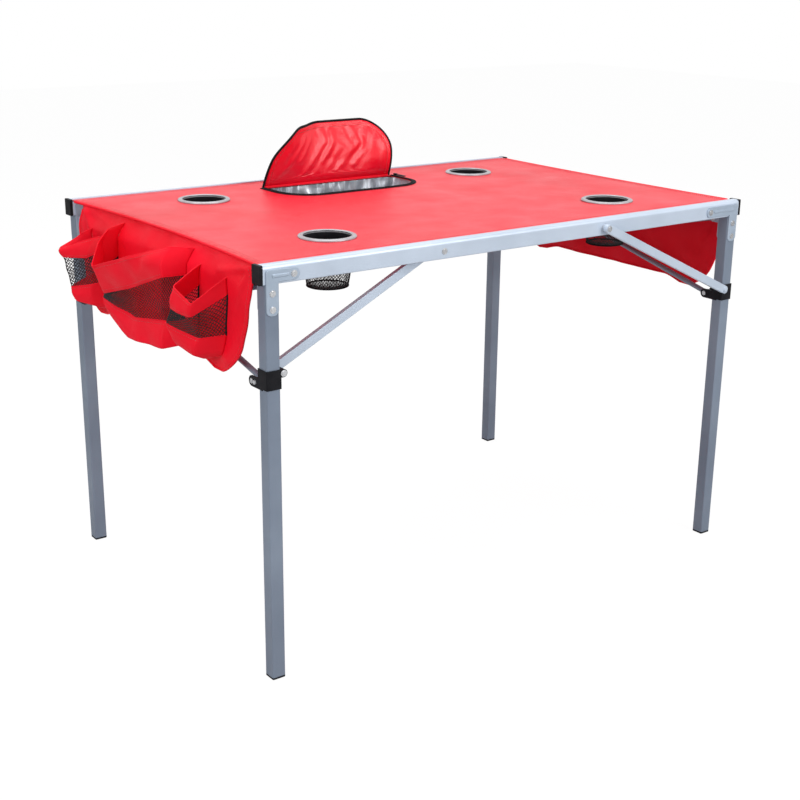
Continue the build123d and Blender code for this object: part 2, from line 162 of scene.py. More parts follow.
def coloured(name, rough, dark, light, scale, gloss=None, edges=0.0, bump=None, **constants):
    """A finish of drifting colour. Gloss is (low, high, scale), edges a radius, bump (scale, depth)."""
    finish = new_finish(name, rough, **constants)
    mottle(finish, dark, light, scale)
    if gloss:
        smear(finish, *gloss)
    if edges:
        soften_edges(finish, edges)
    if bump:
        grain(finish, *bump)
    return finish


print("finish helpers ready")

# %% [markdown]
# The rails, braces and brackets are painted a light silver and the legs a darker grey. Such paint has
# fine metal flake in it, so a part of the shader is metallic and the gloss is smeared a little.

# %% Painted metal
tube_edge, flake_depth = 0.0016, 0.00004
silver_paint = coloured("silver_paint", 0.38, (0.49, 0.565, 0.67), (0.565, 0.645, 0.76), 9.0,
                        gloss=(0.32, 0.44, 40.0), edges=tube_edge, bump=(900.0, flake_depth), metallic=0.25)
plate_paint = coloured("plate_paint", 0.36, (0.35, 0.425, 0.52), (0.42, 0.50, 0.605), 25.0,
                       gloss=(0.30, 0.44, 60.0), edges=tube_edge, bump=(900.0, flake_depth), metallic=0.35)
leg_paint = coloured("leg_paint", 0.4, (0.18, 0.22, 0.29), (0.242, 0.292, 0.372), 7.0,
                     gloss=(0.34, 0.48, 30.0), edges=tube_edge, bump=(800.0, flake_depth), metallic=0.35)
rivet_steel = coloured("rivet_steel", 0.28, (0.58, 0.59, 0.61), (0.70, 0.71, 0.73), 120.0,
                       gloss=(0.22, 0.36, 200.0), metallic=0.9)
print("painted metal:", silver_paint.name, leg_paint.name, rivet_steel.name)

# %% [markdown]
# Caps, collars and feet are moulded in black plastic, with the fine matt grain of the mould. The lock
# buttons and the rings of the cup holders are grey. A bump of noise shows the grain without more faces.

# %% Moulded plastic
black_plastic = coloured("black_plastic", 0.5, (0.008, 0.008, 0.010), (0.016, 0.016, 0.019), 60.0,
                         gloss=(0.40, 0.55, 90.0), bump=(1400.0, 0.00008), specular=0.08)
grey_plastic = coloured("grey_plastic", 0.42, (0.42, 0.43, 0.45), (0.50, 0.51, 0.53), 80.0,
                        bump=(1200.0, 0.00005))
ring_plastic = coloured("ring_plastic", 0.34, (0.32, 0.325, 0.345), (0.43, 0.435, 0.455), 40.0,
                        gloss=(0.30, 0.46, 70.0), metallic=0.3)
print("plastics:", black_plastic.name, grey_plastic.name, ring_plastic.name)

# %% [markdown]
# The cloth is a coated polyester: saturated red, a plain weave, and enough gloss to pick up a pale
# veil at a low angle. The top lies in X and Y, the aprons stand in Y and Z and the lid in X and Z, so
# each has its own pair of thread directions. The aprons and the lid also take a lighter red than the
# top: painted light that brightens the upright cloth, which gets less lamp light than the top.

# %% Red cloth
thread_pitch, thread_depth = 0.0011, 0.00007


# red is the level of the red; a level above the top's 0.82 is painted light.
def red_cloth(name, directions, rough, gloss, red=0.82):
    cloth = new_finish(name, rough, specular=gloss)
    mottle(cloth, (red - 0.13, 0.004, 0.017), (red, 0.006, 0.028), 5.0, detail=5.0)
    smear(cloth, rough - 0.06, rough + 0.06, 14.0)
    weave(cloth, directions, thread_pitch, thread_depth)
    grain(cloth, 55.0, 0.0005, detail=3.0)
    return cloth


# The top keeps the cloth's own red. The aprons' and the lid's copies take a lighter red: painted light for
# upright cloth.
top_red = red_cloth("top_red", ("X", "Y"), 0.42, 0.5)
side_red_lightened = red_cloth("side_red_lightened", ("Y", "Z"), 0.52, 0.13, red=0.93)
lid_red_lightened = red_cloth("lid_red_lightened", ("X", "Z"), 0.20, 0.5, red=0.95)

thread_red = coloured("thread_red", 0.6, (0.52, 0.006, 0.014), (0.64, 0.009, 0.02), 300.0,
                      bump=(3000.0, 0.0001), sheen=0.3)
print("red cloths:", top_red.name, side_red_lightened.name, lid_red_lightened.name)

# %% [markdown]
# Nets, zip tapes and bindings are black. The cooler is lined with foil that shows every crease. Its
# large creases are modelled further down, and here stacked bumps give it the fine ones.

# %% Net, tape and foil
net_black = coloured("net_black", 0.6, (0.012, 0.012, 0.014), (0.03, 0.03, 0.033), 200.0,
                     bump=(2500.0, 0.00008), specular=0.2)
tape_black = coloured("tape_black", 0.7, (0.007, 0.007, 0.008), (0.016, 0.016, 0.018), 90.0, specular=0.04)
weave(tape_black, ("X", "Y"), 0.0009, 0.00008)

foil = coloured("foil", 0.36, (0.42, 0.45, 0.50), (0.62, 0.65, 0.70), 25.0, gloss=(0.42, 0.56, 60.0),
                metallic=0.8)
streak = texture(foil, "ShaderNodeTexWave", Scale=11.0, Distortion=6.0, Detail=1.0)
raise_height(foil, streak.outputs["Fac"], 0.010, 0.9)
crease = texture(foil, "ShaderNodeTexVoronoi", Scale=26.0)
crease.feature = "DISTANCE_TO_EDGE"
raise_height(foil, crease.outputs["Distance"], 0.005, 0.6)
grain(foil, 30.0, 0.0006)
print("net, tape and foil:", net_black.name, tape_black.name, foil.name)

# %% [markdown]
# ## The CAD pieces keep their shapes
# Each CAD node names a material slot in the record, so one small table gives every node its finish.
# Brackets and braces have a finish of their own.

# %% Paint the frame
slot_finish = {
    "silver_paint": silver_paint, "grey_paint": leg_paint, "zinc": rivet_steel,
    "black_plastic": black_plastic, "button_grey": grey_plastic, "red_cloth": side_red_lightened,
    "black_mesh": net_black, "grey_binding": ring_plastic, "foil": foil, "zip_tape": tape_black,
}
own_finish = {"bracket": plate_paint, "brace": silver_paint}
for part in frame["record"]["subparts"]:
    kind = part["node"].split("_")[0]
    for holder in frame["nodes"][part["node"]].material_slots:
        holder.material = own_finish.get(kind, slot_finish[part["material_slot"]])
print("painted nodes:", len(frame["nodes"]))

# %% [markdown]
# ## Node trees for what repeats
# Three things repeat all over the sewing: a round cord along an edge, a row of stitches, and the
# teeth of a zip. Two small Geometry Nodes trees make them all from a wire of points. The first
# sweeps a circle along the wire, which also knots a net. The second sets one bead after another.

# %% Tree: a cord along a wire
def add_nodes(tree, *kinds):
    return [tree.nodes.new(f"GeometryNode{kind}") for kind in kinds]


def start_tree(name, inputs):
    tree = bpy.data.node_groups.new(name, "GeometryNodeTree")
    tree.is_modifier = True
    tree.interface.new_socket("Geometry", in_out="INPUT", socket_type="NodeSocketGeometry")
    for label, kind, value in inputs:
        socket = tree.interface.new_socket(label, in_out="INPUT", socket_type=kind)
        if value is not None:
            socket.default_value = value
    tree.interface.new_socket("Geometry", in_out="OUTPUT", socket_type="NodeSocketGeometry")
    return tree, tree.nodes.new("NodeGroupInput").outputs, tree.nodes.new("NodeGroupOutput").inputs


def end_tree(tree, made, given, out):
    """Close a tree with Set Shade Smooth, Realize Instances and Set Material."""
    real, smooth, paint = add_nodes(tree, "RealizeInstances", "SetShadeSmooth", "SetMaterial")
    wire(tree, (made, smooth.inputs[0]), (smooth.outputs[0], real.inputs[0]),
         (real.outputs[0], paint.inputs["Geometry"]), (given["Finish"], paint.inputs["Material"]),
         (paint.outputs[0], out[0]))


cord_tree, given, out = start_tree("cord_along_wire", [
    ("Radius", "NodeSocketFloat", 0.002),
    ("Sides", "NodeSocketInt", 8),
    ("Finish", "NodeSocketMaterial", None),
])
line, ring, sweep = add_nodes(cord_tree, "MeshToCurve", "CurvePrimitiveCircle", "CurveToMesh")
wire(cord_tree, (given["Geometry"], line.inputs["Mesh"]), (given["Sides"], ring.inputs["Resolution"]),
     (given["Radius"], ring.inputs["Radius"]), (line.outputs["Curve"], sweep.inputs["Curve"]),
     (ring.outputs["Curve"], sweep.inputs["Profile Curve"]))
sweep.inputs["Fill Caps"].default_value = True
end_tree(cord_tree, sweep.outputs["Mesh"], given, out)
print("tree:", cord_tree.name)

# %% Tree: beads along a wire
bead_tree, given, out = start_tree("beads_along_wire", [
    ("Pitch", "NodeSocketFloat", 0.0045),
    ("Bead", "NodeSocketVector", (0.0005, 0.0005, 0.0016)),
    ("Finish", "NodeSocketMaterial", None),
])
line, spots, bead, stand = add_nodes(
    bead_tree, "MeshToCurve", "CurveToPoints", "MeshUVSphere", "InstanceOnPoints")
spots.mode = "LENGTH"
for label, value in (("Segments", 6), ("Rings", 4), ("Radius", 1.0)):
    bead.inputs[label].default_value = value
wire(bead_tree, (given["Geometry"], line.inputs["Mesh"]), (line.outputs["Curve"], spots.inputs["Curve"]),
     (given["Pitch"], spots.inputs["Length"]), (spots.outputs["Points"], stand.inputs["Points"]),
     (spots.outputs["Rotation"], stand.inputs["Rotation"]), (bead.outputs["Mesh"], stand.inputs["Instance"]),
     (given["Bead"], stand.inputs["Scale"]))
end_tree(bead_tree, stand.outputs["Instances"], given, out)
print("tree:", bead_tree.name)

# %% Helpers: plain meshes from trees
def settled(obj):
    """Turn what the modifiers make into the object's own plain mesh."""
    depsgraph = bpy.context.evaluated_depsgraph_get()
    plain = bpy.data.meshes.new_from_object(obj.evaluated_get(depsgraph))
    obj.modifiers.clear()
    obj.data = plain
    return obj


def new_object(name, points, edges, faces):
    """A mesh object in the scene."""
    mesh = bpy.data.meshes.new(name)
    mesh.from_pydata([tuple(p) for p in points], edges, faces)
    mesh.validate()
    obj = bpy.data.objects.new(name, mesh)
    scene.collection.objects.link(obj)
    return obj


def run_tree(name, tree, lines, closed=False, edges=None, **inputs):
    """Run a tree on polylines, or on one net of points with its own edges."""
    if edges is None:
        points, edges = [], []
        for one in lines:
            start = len(points)
            points.extend(one)
            edges += [(start + i, start + i + 1) for i in range(len(one) - 1)]
            if closed:
                edges.append((len(points) - 1, start))
    else:
        points = lines
    obj = new_object(name, points, edges, [])
    modifier = obj.modifiers.new("tree", "NODES")
    modifier.node_group = tree
    for item in tree.interface.items_tree:
        if item.in_out == "INPUT" and item.name in inputs:
            modifier[item.identifier] = inputs[item.name]
    return settled(obj)


def cord(name, lines, finish, radius, sides=8, **wires):
    """A round cord along each line, or along every thread of a net."""
    return run_tree(name, cord_tree, lines, Radius=radius, Sides=sides, Finish=finish, **wires)


def beads(name, lines, finish, pitch, bead):
    """A row of stitches or teeth along each line. Bead is half the size of one."""
    return run_tree(name, bead_tree, lines, Pitch=pitch, Bead=bead, Finish=finish)


print("tree helpers ready")

# %% Helpers: sheets, grids and noise
def mesh_piece(name, points, faces, finish):
    """A smooth shaded mesh in one finish."""
    obj = new_object(name, points, [], faces)
    obj.data.materials.append(finish)
    obj.data.shade_smooth()
    return obj


def cloth_piece(name, points, faces, finish, thickness):
    """A sheet of cloth with its thickness. The drawn surface stays in the middle."""
    obj = mesh_piece(name, points, faces, finish)
    wall = obj.modifiers.new("thickness", "SOLIDIFY")
    wall.thickness = thickness
    wall.offset = 0.0
    return settled(obj)


def grid_faces(rows, columns, start=0, closed=False):
    """Quads between rows of points. Closed rows are rings."""
    faces = []
    for r in range(rows - 1):
        here, below = start + r * columns, start + (r + 1) * columns
        for c in range(columns if closed else columns - 1):
            d = (c + 1) % columns
            faces.append((here + c, here + d, below + d, below + c))
    return faces


def smooth_step(value):
    """Ease from 0 to 1 as the value goes from 0 to 1."""
    value = min(1.0, max(0.0, value))
    return value * value * (3 - 2 * value)


def bell(away, width):
    """One on a line, and next to nothing at two widths from it."""
    return math.exp(-((away / width) ** 2))


def drift(x, y, z):
    """Smooth noise at a place, about -1 to 1."""
    return noise.noise(Vector((x, y, z)))


print("mesh helpers ready")

# %% [markdown]
# ## What each piece rides
# When the frame folds, the back rail travels to the front one and the cloth gathers between them. A
# soft piece rides the front frame. The cooler slides with the gathering cloth, so its own pieces ride
# the cooler, and the lid's pieces ride the lid. The lid stands curled when it is open.

# %% Helper: sew a piece to its body
hinge_y, top_z = 0.248, 0.6383


def sew(obj, body, slot, *nodes):
    """Let a piece ride its body and stand for CAD nodes."""
    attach(obj, body)
    if nodes:
        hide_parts(*nodes)
    if body == "lid":
        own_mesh(obj)
        return obj
    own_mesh(obj)
    return obj


# %% [markdown]
# ## The top
# The top is one stretched sheet. Its ends bow in between the rails, and it has four round holes for
# cups and a half oval for the cooler. A triangulation of the outline, the holes and a fine lattice of
# inner points gives an even mesh, which can then sag and ripple.

# %% Outline of the top and its holes
half_long, edge_y = 0.488, 0.3139
end_bows = {-1: 0.016, 1: 0.008}
cups = [(x, y) for x in (-0.296, 0.296) for y in (-0.194, 0.194)]
cup_hole, cloth_thick = 0.0405, 0.0014
mouth_half, mouth_front, mouth_corner = 0.144, 0.136, 0.062


def end_x(y, end):
    """How far out the bowed edge of one end lies at depth y."""
    bow = end_bows[end]
    radius = (edge_y**2 + bow**2) / (2 * bow)
    return half_long - bow + radius - math.sqrt(radius**2 - min(abs(y), edge_y) ** 2)


def mouth_line(grow=0.0, stop=0.0, step=0.004):
    """The half oval from its right hinge end round the front to the left one."""
    half, front, radius = mouth_half + grow, mouth_front - grow, mouth_corner + grow
    side = max(2, int((hinge_y - stop - front - radius) / step))
    bend = max(4, int(radius * math.pi / 2 / step))
    points = [(half, hinge_y - stop - (hinge_y - stop - front - radius) * i / side) for i in range(side)]
    for i in range(bend):
        a = math.pi / 2 * i / bend
        points.append((half - radius + radius * math.cos(a), front + radius - radius * math.sin(a)))
    straight = max(2, int((half - radius) / step))
    points += [((half - radius) * (1 - i / straight), front) for i in range(straight + 1)]
    return points + [(-x, y) for x, y in reversed(points[:-1])]


def in_mouth(x, y, grow=0.0):
    """True inside the half oval, or inside one that is grown on every side."""
    half, front, radius = mouth_half + grow, mouth_front - grow, mouth_corner + grow
    if abs(x) > half or y < front or y > hinge_y + grow:
        return False
    dx, dy = abs(x) - (half - radius), front + radius - y
    return dx < 0 or dy < 0 or math.hypot(dx, dy) < radius


def on_top(x, y, margin):
    """True where there is cloth, with a margin kept to every edge."""
    if abs(y) > edge_y - margin or abs(x) > end_x(y, 1 if x > 0 else -1) - margin:
        return False
    if any(math.hypot(x - cx, y - cy) < cup_hole + margin for cx, cy in cups):
        return False
    return not in_mouth(x, y, margin)


def cloth_z(x, y):
    """Height of the stretched cloth: a slight sag and long shallow ripples."""
    sag, swing, held_x, held_y = 0.0022, 0.0007, 0.49, 0.3145
    hold = max(0.0, 1 - (x / held_x) ** 2) * max(0.0, 1 - (y / held_y) ** 2)
    ripple = drift(x * 4, y * 15, 3.1) + 0.5 * drift(x * 19, y * 9, 8.7)
    return top_z - sag * hold + swing * ripple * min(1.0, 3 * hold)


print("ends of the top at", round(end_x(0.0, -1), 3), round(end_x(0.0, 1), 3))

# %% The stretched sheet
def sheet_mesh(loops, keep_point, keep_face, step, reach):
    """Triangulate closed loops and a lattice of inner points, and keep the faces that are cloth.

    Reach is half the lattice's size in X and Y, and its middle in Y.
    """
    points, edges = [], []
    for loop in loops:
        start = len(points)
        points += [Vector(p) for p in loop]
        edges += [(start + i, start + (i + 1) % len(loop)) for i in range(len(loop))]
    rows = int(2 * reach[1] / step)
    columns = int(2 * reach[0] / step)
    for r in range(rows + 1):
        for c in range(columns + 1):
            x = -reach[0] + 2 * reach[0] * c / columns + (step / 2 if r % 2 else 0)
            y = reach[2] - reach[1] + 2 * reach[1] * r / rows
            if keep_point(x, y):
                points.append(Vector((x, y)))
    flat, _, faces, *_ = geometry.delaunay_2d_cdt(points, edges, [], 0, 1e-6)
    kept = [f for f in faces if keep_face(*(sum((flat[i] for i in f), Vector((0, 0))) / 3))]
    return flat, kept


deep = np.linspace(-edge_y, edge_y, 60)
outline = [(x, -edge_y) for x in np.linspace(-half_long, half_long, 90)[1:-1]]
outline += [(end_x(y, 1), y) for y in deep]
outline += [(x, edge_y) for x in np.linspace(half_long, -half_long, 90)[1:-1]]
outline += [(-end_x(y, -1), y) for y in reversed(deep)]
around = np.linspace(0, 2 * math.pi, 48, endpoint=False)
cup_loops = [[(cx + cup_hole * math.cos(a), cy + cup_hole * math.sin(a)) for a in around]
             for cx, cy in cups]
flat, faces = sheet_mesh([outline, mouth_line()] + cup_loops, lambda x, y: on_top(x, y, 0.004),
                         lambda x, y: on_top(x, y, 0.0), step=0.009, reach=(0.486, 0.312, 0.0))
points = [(p.x, p.y, cloth_z(p.x, p.y) - cloth_thick / 2) for p in flat]
top_cloth = cloth_piece("top_cloth", points, faces, top_red, cloth_thick)
print("top cloth:", len(top_cloth.data.polygons), "faces")

# %% Piping and hem stitches of the top
piping_half, hem_half = 0.302, 0.300
top_ends = [[(s * (end_x(y, s) + 0.0006), y, top_z - 0.0016)
             for y in np.linspace(-piping_half, piping_half, 90)] for s in (-1, 1)]
top_piping = cord("top_piping", top_ends, side_red_lightened, radius=0.0023, sides=10)
stitch_pitch, hem_stitch = 0.0046, (0.00045, 0.00045, 0.0016)
hem_y, hem_x, stitch_lift = 0.3005, 0.462, 0.0001
hem_lines = []
for s in (-1, 1):
    for inset in (0.007, 0.0125):
        hem_lines.append([(s * (end_x(y, s) - inset), y, cloth_z(end_x(y, s) - inset, y) + stitch_lift)
                          for y in np.linspace(-hem_half, hem_half, 90)])
for s in (-1, 1):
    hem_lines.append([(x, s * hem_y, cloth_z(x, hem_y) + stitch_lift)
                      for x in np.linspace(-hem_x, hem_x, 160)])
top_stitches = beads("top_stitches", hem_lines, thread_red, stitch_pitch, hem_stitch)
print("top piping and stitches:", len(top_stitches.data.polygons), "faces")

# %% [markdown]
# ## The end aprons
# An apron hangs from each bowed end edge. It leaves the edge inside the rails' ends, swings out past
# the legs, and its lower corners are rounded. Tension folds run down from its upper corners.

# %% Shape of an apron
apron_top, apron_flare, apron_low = 0.6362, 0.6080, 0.4613
apron_face, apron_thick, apron_swing = 0.4926, 0.0013, 0.004
leave_depth, long_folds, short_folds = 0.036, 0.0040, 0.0018
back_draw, hem_rise, hem_inset = 0.026, 0.015, 0.006


def apron_half(z):
    """Half width of the apron at height z, measured at its front edge."""
    widest, taper, corner = 0.2992, 0.051, 0.05
    down = min(1.0, max(0.0, (apron_flare - z) / (apron_flare - apron_low)))
    near_hem = max(0.0, corner - (z - apron_low))
    return widest - taper * down**1.7 - (corner - math.sqrt(max(0.0, corner**2 - near_hem**2)))


tension_folds = [
    # from (y, z) to (y, z), height, half width
    ((-0.292, 0.630), (-0.205, 0.612), 0.0065, 0.005),
    ((-0.288, 0.620), (-0.250, 0.560), 0.0048, 0.006),
    ((0.262, 0.632), (0.212, 0.590), 0.0070, 0.006),
    ((0.258, 0.620), (0.246, 0.556), 0.0030, 0.006),
    ((0.255, 0.633), (0.165, 0.617), 0.0036, 0.005),
    ((-0.235, 0.488), (-0.262, 0.530), 0.0036, 0.009),
    ((-0.130, 0.630), (-0.060, 0.606), 0.0024, 0.007),
]


def off_line(y, z, start, end):
    """Distance of a point from a line, and how far along the line it lies."""
    dy, dz = end[0] - start[0], end[1] - start[1]
    along = ((y - start[0]) * dy + (z - start[1]) * dz) / (dy * dy + dz * dz)
    near = min(1.0, max(0.0, along))
    return math.hypot(y - start[0] - near * dy, z - start[1] - near * dz), near


def apron_x(y, z, end):
    """Distance of one apron's cloth from the middle of the table."""
    down = (apron_top - z) / (apron_top - apron_low)
    leave = smooth_step((apron_top - z) / leave_depth)
    folds = long_folds * drift(y * 13 + 2.7 * down, down * 1.6, 5.2)
    folds += short_folds * drift(y * 30, down * 5, 1.4)
    for start, stop, height, width in tension_folds:
        away, near = off_line(y, z, start, stop)
        folds += height * bell(away, width) * (1 - 0.6 * near)
    straight = apron_face + apron_swing * down * down
    edge = end_x(y, end) + 0.0004
    return edge + (straight - edge) * leave + folds * smooth_step((apron_top - z) / 0.010)


def apron_back(z):
    """Where the back edge hangs: it is drawn in from the leg."""
    return apron_half(z) - back_draw


def hem_lift(y, z):
    """The pockets draw the hem up between the lower corners."""
    down = (apron_top - z) / (apron_top - apron_low)
    return hem_rise * smooth_step((y + 0.225) / 0.07) * smooth_step((0.205 - y) / 0.07) * down**3


apron_rows, apron_columns = 44, 110
apron_z = [apron_top - (apron_top - apron_low) * (r / (apron_rows - 1)) for r in range(apron_rows)]
print("apron", round(2 * apron_half(apron_top), 3), "wide,", round(apron_top - apron_low, 4), "deep")

# %% Cloth, binding and stitches of both aprons
sides = {"left": -1, "right": 1}
aprons, bindings, apron_stitches = {}, {}, {}
for side, s in sides.items():
    points, faces = [], grid_faces(apron_rows, apron_columns)
    for z in apron_z:
        for y in np.linspace(-apron_half(z), apron_back(z), apron_columns):
            points.append((s * apron_x(y, z, s), y, z + hem_lift(y, z)))
    aprons[side] = cloth_piece(f"apron_cloth_{side}", points, faces, side_red_lightened, apron_thick)
    edge = [(-apron_half(z), z) for z in apron_z[2:]]
    edge += [(y, apron_low) for y in np.linspace(-apron_half(apron_low), apron_back(apron_low), 60)[1:-1]]
    edge += [(apron_back(z), z) for z in reversed(apron_z[2:])]
    edge = [(s * apron_x(y, z, s), y, z + hem_lift(y, z)) for y, z in edge]
    bindings[side] = cord(f"apron_binding_{side}", [edge], side_red_lightened, radius=0.0021)
    row = []
    for _, y, z in edge:
        inset_y = y * (1 - hem_inset / 0.3)
        inset_z = max(z, apron_low + hem_lift(y, apron_low) + hem_inset)
        row.append((s * (apron_x(inset_y, inset_z, s) + 0.0008), inset_y, inset_z))
    apron_stitches[side] = beads(f"apron_stitches_{side}", [row], thread_red, stitch_pitch, hem_stitch)
print("aprons:", {side: len(a.data.polygons) for side, a in aprons.items()})

# %% [markdown]
# ## The end pockets
# Each apron carries a bottle pocket, a wide box pocket and another bottle pocket. Each has a red
# band at its sagging mouth, a net window, and a red band that turns under as its floor. An empty
# pocket hangs in flat facets with creases between them. So a pocket is lofted through four curves,
# the mouth, both edges of the net and the edge of the floor, each given at the same few corners.

# %% Corners of the pockets
# Each corner is (depth y, reach out from the apron, height z), from the front seam to the back seam.
pockets = {
    "bottle_front": (
        ((-0.236, 0.0, 0.607), (-0.219, 0.050, 0.571), (-0.167, 0.053, 0.587), (-0.150, 0.0, 0.610)),
        ((-0.236, 0.0, 0.583), (-0.213, 0.050, 0.551), (-0.161, 0.054, 0.555), (-0.150, 0.0, 0.580)),
        ((-0.231, 0.0, 0.521), (-0.219, 0.041, 0.519), (-0.154, 0.056, 0.532), (-0.150, 0.0, 0.530)),
        ((-0.229, 0.0, 0.499), (-0.211, 0.038, 0.492), (-0.166, 0.048, 0.501), (-0.152, 0.0, 0.503)),
    ),
    "box": (
        ((-0.113, 0.0, 0.626), (-0.100, 0.038, 0.630), (0.002, 0.052, 0.598), (0.088, 0.062, 0.571),
         (0.120, 0.028, 0.621), (0.123, 0.0, 0.627)),
        ((-0.112, 0.0, 0.588), (-0.103, 0.037, 0.587), (0.006, 0.038, 0.549), (0.091, 0.042, 0.525),
         (0.119, 0.024, 0.562), (0.123, 0.0, 0.575)),
        ((-0.104, 0.0, 0.512), (-0.082, 0.026, 0.514), (0.001, 0.030, 0.502), (0.099, 0.042, 0.516),
         (0.114, 0.022, 0.514), (0.119, 0.0, 0.516)),
        ((-0.102, 0.0, 0.478), (-0.090, 0.032, 0.473), (0.014, 0.038, 0.468), (0.080, 0.042, 0.496),
         (0.104, 0.020, 0.495), (0.114, 0.0, 0.496)),
    ),
    "bottle_back": (
        ((0.146, 0.0, 0.604), (0.166, 0.018, 0.600), (0.232, 0.058, 0.575), (0.218, 0.0, 0.605)),
        ((0.146, 0.0, 0.585), (0.172, 0.036, 0.567), (0.224, 0.058, 0.562), (0.216, 0.0, 0.585)),
        ((0.146, 0.0, 0.531), (0.160, 0.036, 0.524), (0.204, 0.050, 0.514), (0.212, 0.0, 0.532)),
        ((0.150, 0.0, 0.496), (0.160, 0.030, 0.490), (0.192, 0.046, 0.493), (0.206, 0.0, 0.500)),
    ),
}
print("pockets:", list(pockets))

# %% Loft of a pocket
floor_drop, floor_low, floor_belly = 0.007, 0.4815, 0.004
floor_width, floor_reach = 0.8, 0.04        # shares of the floor's edge where the floor ends
pocket_gap, pucker_depth, belly_depth, full_reach = 0.0012, 0.0030, 0.0025, 0.02


def level_curve(corners, count, rounding=2):
    """Even points along straight stretches between corners, with the corners eased a little."""
    corners = np.array(corners)
    points = [corners[0]]
    stretches = len(corners) - 1
    for i in range(1, count):
        spot = min(i / (count - 1) * stretches, stretches - 1e-9)
        k = int(spot)
        points.append(corners[k] + (corners[k + 1] - corners[k]) * (spot - k))
    curve = np.array(points)
    for _ in range(rounding):
        curve[1:-1] = (curve[:-2] + 2 * curve[1:-1] + curve[2:]) / 4
    return curve


def pocket_surface(levels, count):
    """Return a function of (column, down, side) that gives a point of the pocket.

    Down is 0 at the mouth, 1 and 2 at the net's edges, 3 at the floor's edge and 4 under the floor.
    """
    curves = [level_curve(corners, count) for corners in levels]
    floor = curves[3].copy()
    floor[:, 0] = floor[:, 0].mean() + (floor[:, 0] - floor[:, 0].mean()) * floor_width
    floor[:, 1] *= floor_reach
    floor[:, 2] = np.maximum(floor[:, 2] - floor_drop, floor_low)
    curves.append(floor)

    def point(column, down, s):
        low = min(3, int(down))
        y, out, z = curves[low][column] + (curves[low + 1][column] - curves[low][column]) * (down - low)
        if low == 3:
            z -= floor_belly * math.sin(math.pi * (down - 3))
        free = min(1.0, out / full_reach)
        pucker = pucker_depth * drift(y * 24, down * 1.9, z * 30) * free
        belly = belly_depth * math.sin(math.pi * (down % 1.0)) * free * (low in (0, 2))
        hang = apron_x(y, max(z, apron_low), s) + pocket_gap
        return (s * (hang + max(0.0, out + pucker + belly)), y, z)

    return point


print("the box pocket's mouth reaches out", max(out for _, out, _ in pockets["box"][0]), "m")

# %% Helper: knot a diamond net
def knot_net(points, edges, rows, columns, spot, wrap=0):
    """Add a diamond net to points and edges. Spot gives a knot's place, or None where there is none."""
    knots = {}
    for r in rows:
        for c in columns:
            place = spot(r, c) if (r + c) % 2 == 0 else None
            if place:
                knots[r, c] = len(points)
                points.append(place)
    for (r, c), knot in knots.items():
        for below in (c - 1, c + 1):
            tied = (r + 1, below % wrap if wrap else below)
            if tied in knots:
                edges.append((knot, knots[tied]))


print("net helper ready")

# %% Cloth bands, nets, edges and stitches of the pockets
# rows of points down the upper band, and down the lower band and under the floor
downs = [0.0, 0.06, 0.2, 0.35, 0.5, 0.65, 0.8, 0.94, 1.0]
under = [2.0, 2.06, 2.2, 2.4, 2.6, 2.8, 2.94, 3.0, 3.06, 3.2, 3.4, 3.6, 3.8, 4.0]
net_tuck, stitch_out = 0.04, 0.0009     # how far the net runs under both bands, and stitches stand off
pocket_cloth, pocket_nets, pocket_edges, pocket_seams, pocket_stitches = {}, {}, {}, {}, {}
for side, s in sides.items():
    net_points, net_edges, edge_lines, seam_lines, stitch_lines = [], [], [], [], []
    for name, levels in pockets.items():
        columns, net_columns, net_rows = (121, 105, 24) if name == "box" else (61, 49, 19)
        point = pocket_surface(levels, columns)
        points = [point(c, down, s) for down in downs + under for c in range(columns)]
        faces = grid_faces(len(downs), columns) + grid_faces(len(under), columns, len(downs) * columns)
        pocket_cloth[name, side] = cloth_piece(f"pocket_{name}_{side}", points, faces, side_red_lightened, cloth_thick)
        wide = pocket_surface(levels, net_columns)
        knot_net(net_points, net_edges, range(net_rows + 1), range(net_columns),
                 lambda r, c: wide(c, 1 - net_tuck + (1 + 2 * net_tuck) * r / net_rows, s))
        for down in (0.0, 1.0, 2.0):
            edge_lines.append([point(c, down, s) for c in range(columns)])
        for c in (0, columns - 1):
            seam_lines.append([point(c, 1.0 + k / 12, s) for k in range(13)])
        if name == "box":
            edge_lines.append([point(columns // 5, k / 8, s) for k in range(9)])
        for down in (0.10, 0.90, 2.12):
            row = [point(c, down, s) for c in range(columns)]
            stitch_lines.append([(x + s * stitch_out, y, z) for x, y, z in row])
    pocket_nets[side] = cord(f"pocket_nets_{side}", net_points, net_black, radius=0.00056, sides=4,
                             edges=net_edges)
    pocket_edges[side] = cord(f"pocket_edges_{side}", edge_lines, side_red_lightened, radius=0.0011, sides=6)
    pocket_seams[side] = cord(f"pocket_seams_{side}", seam_lines, tape_black, radius=0.0015, sides=6)
    pocket_stitches[side] = beads(f"pocket_stitches_{side}", stitch_lines, thread_red, pitch=0.0044,
                                  bead=(0.0004, 0.0004, 0.0015))
    print(side, "net:", len(pocket_nets[side].data.polygons), "faces")

# %% [markdown]
# ## The cup holders
# A cup holder is a pale moulded ring on the cloth, a short black throat under it, and a hanging net
# pocket. Ring and throat are profiles spun in a loop. The cord tree knots the net, whose floor is a
# shallow bowl with a lattice of its own, because rows that met in the middle would leave a hole there.

# %% Rings and throats
def turned(profile, centres, steps=56):
    """Spin a closed profile of (radius, height over the cloth) round several centres."""
    points, faces = [], []
    for cx, cy in centres:
        start = len(points)
        for i in range(steps):
            a = 2 * math.pi * i / steps
            points += [(cx + r * math.cos(a), cy + r * math.sin(a), top_z + h) for r, h in profile]
        count = len(profile)
        for i in range(steps):
            here, ahead = start + i * count, start + (i + 1) % steps * count
            for k in range(count):
                d = (k + 1) % count
                faces.append((here + k, ahead + k, ahead + d, here + d))
    return points, faces


